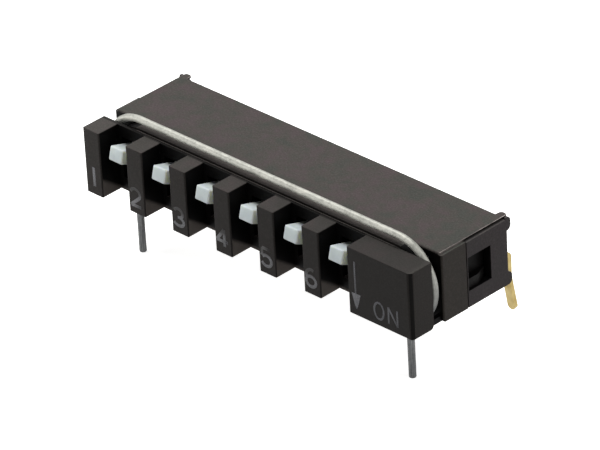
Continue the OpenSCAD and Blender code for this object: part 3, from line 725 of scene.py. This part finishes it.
def bend_wire():
    """A round section drawn up the left leg, bent over the neck and down the right one."""
    bpy.ops.object.select_all(action="DESELECT")
    bpy.ops.mesh.primitive_circle_add(vertices=28, radius=WIRE_R - TIP_R, fill_type="NGON",
                                      location=(-LEG_X, WIRE_Y, -LEG_DROP))
    obj = bpy.context.object
    obj.name = obj.data.name = "hold_down_wire_tinned"
    bpy.ops.object.transform_apply(location=True, rotation=True, scale=True)
    bpy.ops.object.mode_set(mode="EDIT")
    bpy.ops.mesh.select_mode(type="FACE")
    bpy.ops.mesh.select_all(action="SELECT")
    leg = LEG_DROP + FOOT_Z - TIP_L
    draw(0, TIP_L, grow=WIRE_R / (WIRE_R - TIP_R))
    for _ in range(LEG_STEPS):
        draw(0, leg / LEG_STEPS)
    turn(-FOOT_X, FOOT_Z, 1, TURN, FOOT_STEPS)
    turn(-ARC_X, NECK_Z, -1, OVER_NECK, BEND_STEPS)
    for _ in range(TOP_STEPS):
        draw(2 * ARC_X / TOP_STEPS, 0)
    turn(ARC_X, NECK_Z, -1, OVER_NECK, BEND_STEPS)
    turn(FOOT_X, FOOT_Z, 1, TURN, FOOT_STEPS)
    for _ in range(LEG_STEPS):
        draw(0, -leg / LEG_STEPS)
    draw(0, -TIP_L, grow=(WIRE_R - TIP_R) / WIRE_R)
    bpy.ops.mesh.select_all(action="SELECT")
    bpy.ops.mesh.remove_doubles(threshold=SAME_POINT)
    bpy.ops.mesh.normals_make_consistent(inside=False)
    end_edit()
    return obj


def mark_straight(obj):
    """Stores where each point of the wire lay before bending, for lines that follow the wire."""
    path = wire_path()
    along = [0.0]
    for (p, _), (q, _) in zip(path, path[1:]):
        along.append(along[-1] + (q - p).length)
    layer = obj.data.attributes.new("straight", "FLOAT_VECTOR", "POINT")
    for vertex, cell in zip(obj.data.vertices, layer.data):
        spot = Vector((vertex.co.x, 0, vertex.co.z))
        best = min(range(len(path)), key=lambda k: (path[k][0] - spot).length_squared)
        point, way = path[best]
        side = way.cross(Vector((0, 1, 0)))
        rest = spot - point
        cell.vector = rest.dot(side), vertex.co.y - WIRE_Y, along[best] + rest.dot(way)


def dress_wire():
    obj = bend_wire()
    mark_straight(obj)
    finish_with(obj, wire_tin)
    smooth(obj, 50)
    finish_piece(obj, "body", "hold_down_wire")


# Printed marks -----------------------------------------------------------

# Thickness of the ink, most of which is keyed into the grain, and the middle of it
INK_T = 0.008 * MM
INK_Y = ROW_FRONT + 0.001 * MM

# Line widths
FIGURE_W = 0.17 * MM
LETTER_W = 0.11 * MM
ARROW_W = 0.10 * MM

# Places of the arrow and of the two letters on the block
ARROW_X = 6.27 * MM
ARROW_TOP = 2.52 * MM
ARROW_FOOT = 0.95 * MM
HEAD_X = 6.29 * MM
HEAD_TOP = 1.03 * MM
HEAD_TIP = 0.16 * MM
HEAD_HALF_W = 0.26 * MM
LETTER_Z = 0.32 * MM
LETTER_H = 0.76 * MM
LETTER_PLACES = ("O", 7.55 * MM), ("N", 8.32 * MM)


def arc(x, z, rx, rz, start, stop, steps=14):
    """Points on an oval, in shares of the height, from one angle to another in degrees."""
    return [(x + rx * math.cos(math.radians(start + (stop - start) * k / steps)),
             z + rz * math.sin(math.radians(start + (stop - start) * k / steps)))
            for k in range(steps + 1)]


# Plain one-stroke figures, 1 high, with the middle at x = 0
FIGURES = {
    "1": [[(0.0, 0.0), (0.0, 1.0)]],
    "2": [arc(0, 0.70, 0.34, 0.30, 165, -35) + [(-0.34, 0.0)], [(-0.34, 0.0), (0.38, 0.0)]],
    "3": [arc(0, 0.74, 0.31, 0.26, 155, -90) + arc(0, 0.25, 0.36, 0.25, 90, -160)],
    "4": [[(0.16, 0.0), (0.16, 1.0)], [(0.16, 1.0), (-0.38, 0.28)], [(-0.38, 0.28), (0.40, 0.28)]],
    "5": [[(0.32, 1.0), (-0.26, 1.0)], [(-0.26, 1.0), (-0.31, 0.55)],
          arc(0, 0.31, 0.36, 0.31, 140, -155)],
    "6": [arc(0.06, 0.56, 0.38, 0.44, 65, 180)[:-1] + arc(0, 0.30, 0.34, 0.30, 150, -210)],
    "O": [arc(0, 0.5, 0.34, 0.5, 90, 450, 28)],
    "N": [[(-0.32, 0.0), (-0.32, 1.0)], [(-0.32, 1.0), (0.32, 0.0)], [(0.32, 0.0), (0.32, 1.0)]],
}


def print_strokes(name, strokes, x, z, size, width, ink):
    """Ink lines of one width on the front faces, raised by a few microns."""
    data = bpy.data.curves.new(name, "CURVE")
    data.dimensions = "3D"
    data.bevel_depth = width / 2
    data.bevel_resolution = 2
    data.use_fill_caps = True
    for stroke in strokes:
        line = data.splines.new("POLY")
        line.points.add(len(stroke) - 1)
        for point, (u, v) in zip(line.points, stroke):
            point.co = (u * size, 0, v * size, 1)
    curve = bpy.data.objects.new(name, data)
    bpy.context.scene.collection.objects.link(curve)
    select_only(curve)
    bpy.ops.object.convert(target="MESH")
    obj = bpy.context.object
    obj.data.transform(Matrix.Translation((x, INK_Y, z))
                       @ Matrix.Diagonal((1, INK_T / width, 1, 1)))
    start_edit(obj)
    bpy.ops.mesh.select_all(action="SELECT")
    bpy.ops.mesh.remove_doubles(threshold=1e-8)
    bpy.ops.mesh.normals_make_consistent(inside=False)
    end_edit()
    finish_with(obj, ink)
    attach(obj, "body")


def print_arrow_head():
    """Solid arrow head: a cone, squashed to ink thickness."""
    bpy.ops.object.select_all(action="DESELECT")
    bpy.ops.mesh.primitive_cone_add(vertices=24, radius1=HEAD_HALF_W, radius2=HEAD_HALF_W * 0.08,
                                    depth=HEAD_TOP - HEAD_TIP, location=(0, 0, 0),
                                    rotation=(math.pi, 0, 0))
    obj = bpy.context.object
    obj.name = obj.data.name = "arrow_head_print"
    bpy.ops.object.transform_apply(location=True, rotation=True, scale=True)
    start_edit(obj)
    bpy.ops.mesh.select_all(action="SELECT")
    bpy.ops.mesh.bevel(offset=0.01 * MM, segments=2, affect="EDGES")
    end_edit()
    obj.data.transform(Matrix.Translation((HEAD_X, INK_Y, (HEAD_TIP + HEAD_TOP) / 2))
                       @ Matrix.Diagonal((1, INK_T / 2 / HEAD_HALF_W, 1, 1)))
    finish_with(obj, full_ink)
    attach(obj, "body")


def print_marks():
    """The levers' numbers on the fingers, and the arrow and the word on the block. The 1 is
    printed a little larger, higher and further right than the other numbers."""
    for i in range(LEVERS):
        figure = str(i + 1)
        middle = ROW_LEFT + i * PITCH + FINGER_W / 2
        if i == 0:
            print_strokes("digit_1", FIGURES[figure], x=middle + 0.03 * MM, z=0.42 * MM,
                          size=0.90 * MM, width=FIGURE_W, ink=full_ink)
        else:
            print_strokes("digit_" + figure, FIGURES[figure], x=middle - 0.05 * MM, z=0.38 * MM,
                          size=0.81 * MM, width=FIGURE_W, ink=worn_ink)
    print_strokes("arrow_shaft_print", [[(0, ARROW_FOOT), (0, ARROW_TOP)]], x=ARROW_X, z=0,
                  size=1, width=ARROW_W, ink=faint_ink)
    print_arrow_head()
    for letter, x in LETTER_PLACES:
        print_strokes("letter_%s_print" % letter.lower(), FIGURES[letter], x=x, z=LETTER_Z,
                      size=LETTER_H, width=LETTER_W, ink=faint_ink)


# Studio ------------------------------------------------------------------

def seen_directly(tree):
    """1 for rays from the camera, a mirror or glass, and 0 for rays that carry light to the
    object."""
    rays = add(tree, "ShaderNodeLightPath")
    seen = add(tree, "ShaderNodeMath", {"operation": "MAXIMUM"},
               {0: (rays, "Is Camera Ray"), 1: (rays, "Is Glossy Ray")})
    return add(tree, "ShaderNodeMath", {"operation": "MAXIMUM"},
               {0: (seen, 0), 1: (rays, "Is Transmission Ray")})


def studio_paper(name, working, shown, lift):
    """Pale matt paper: it looks white, keeps the object's shadow, and sends only a little light
    back up."""
    material, tree = new_material(name)
    seen = seen_directly(tree)
    working_paper = add(tree, "ShaderNodeBsdfDiffuse", {"Color": linear(working)})
    shown_paper = add(tree, "ShaderNodeBsdfDiffuse", {"Color": linear(shown)})
    glow = add(tree, "ShaderNodeEmission", {"Color": (1, 1, 1, 1), "Strength": lift})
    shown_both = add(tree, "ShaderNodeAddShader", links={0: (shown_paper, 0), 1: (glow, 0)})
    both = add(tree, "ShaderNodeMixShader",
               links={0: (seen, 0), 1: (working_paper, 0), 2: (shown_both, 0)})
    add(tree, "ShaderNodeOutputMaterial", links={"Surface": (both, 0)})
    return material


def add_floor():
    """A sheet of paper just under the legs' and the pins' tips."""
    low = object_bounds()[0]
    bpy.ops.object.select_all(action="DESELECT")
    bpy.ops.mesh.primitive_plane_add(size=3.0, location=(0, 0, low[2] - 0.0001 * MM))
    floor = bpy.context.object
    floor.name = "floor"
    finish_with(floor, studio_paper("white_paper_floor", "#8f8f8d", "#f4f4f2", lift=0.78))


def light_world(strength):
    """An even room, which looks white however little light it gives."""
    world = bpy.data.worlds.new("studio")
    bpy.context.scene.world = world
    world.use_nodes = True
    tree = world.node_tree
    tree.nodes.clear()
    seen = seen_directly(tree)
    room = add(tree, "ShaderNodeBackground", {"Color": (1, 1, 1, 1), "Strength": strength})
    white = add(tree, "ShaderNodeBackground", {"Color": (1, 1, 1, 1), "Strength": 1.0})
    both = add(tree, "ShaderNodeMixShader", links={0: (seen, 0), 1: (room, 0), 2: (white, 0)})
    add(tree, "ShaderNodeOutputWorld", links={"Surface": (both, 0)})


def softbox(name, direction, distance, size, power):
    """Square area lamp that shines at the switch from that direction."""
    lamp = bpy.data.lights.new(name, "AREA")
    lamp.shape = "SQUARE"
    lamp.size = size
    lamp.energy = power
    obj = bpy.data.objects.new(name, lamp)
    bpy.context.scene.collection.objects.link(obj)
    way = Vector(direction).normalized()
    obj.location = way * distance
    obj.rotation_euler = way.to_track_quat("Z", "Y").to_euler()
    obj.visible_camera = False


def aim_camera():
    """Long lens from the front right and above, with the switch lying slightly downhill to the
    right."""
    spot = Vector((155.341, -150.071, 126.568)) * MM
    look_at = Vector((0.203, -0.770, 0.595)) * MM
    roll = math.radians(-3.33)
    data = bpy.data.cameras.new("camera")
    data.sensor_width = 36.0
    data.lens = 364.783
    data.clip_start = 0.01
    data.clip_end = 20.0
    camera = bpy.data.objects.new("camera", data)
    bpy.context.scene.collection.objects.link(camera)
    aim = (spot - look_at).to_track_quat("Z", "Y").to_matrix().to_4x4()
    camera.matrix_world = Matrix.Translation(spot) @ aim @ Matrix.Rotation(roll, 4, "Z")
    bpy.context.scene.camera = camera


dress_housing()
dress_base()
dress_levers()
dress_terminals()
dress_wire()
print_marks()
for i in range(LEVERS):
    finish_with(nodes["contact_%d" % (i + 1)], spring_bronze)

add_floor()
light_world(0.30)
softbox("overhead_left", (-0.50, 0.22, 1.15), distance=0.40, size=0.18, power=1.35)
softbox("front_left", (-1.0, -0.75, 0.25), distance=0.08, size=0.04, power=0.028)
softbox("right", (1.0, 0.35, 0.35), distance=0.30, size=0.15, power=0.33)
aim_camera()
bpy.context.scene.view_settings.view_transform = "Standard"
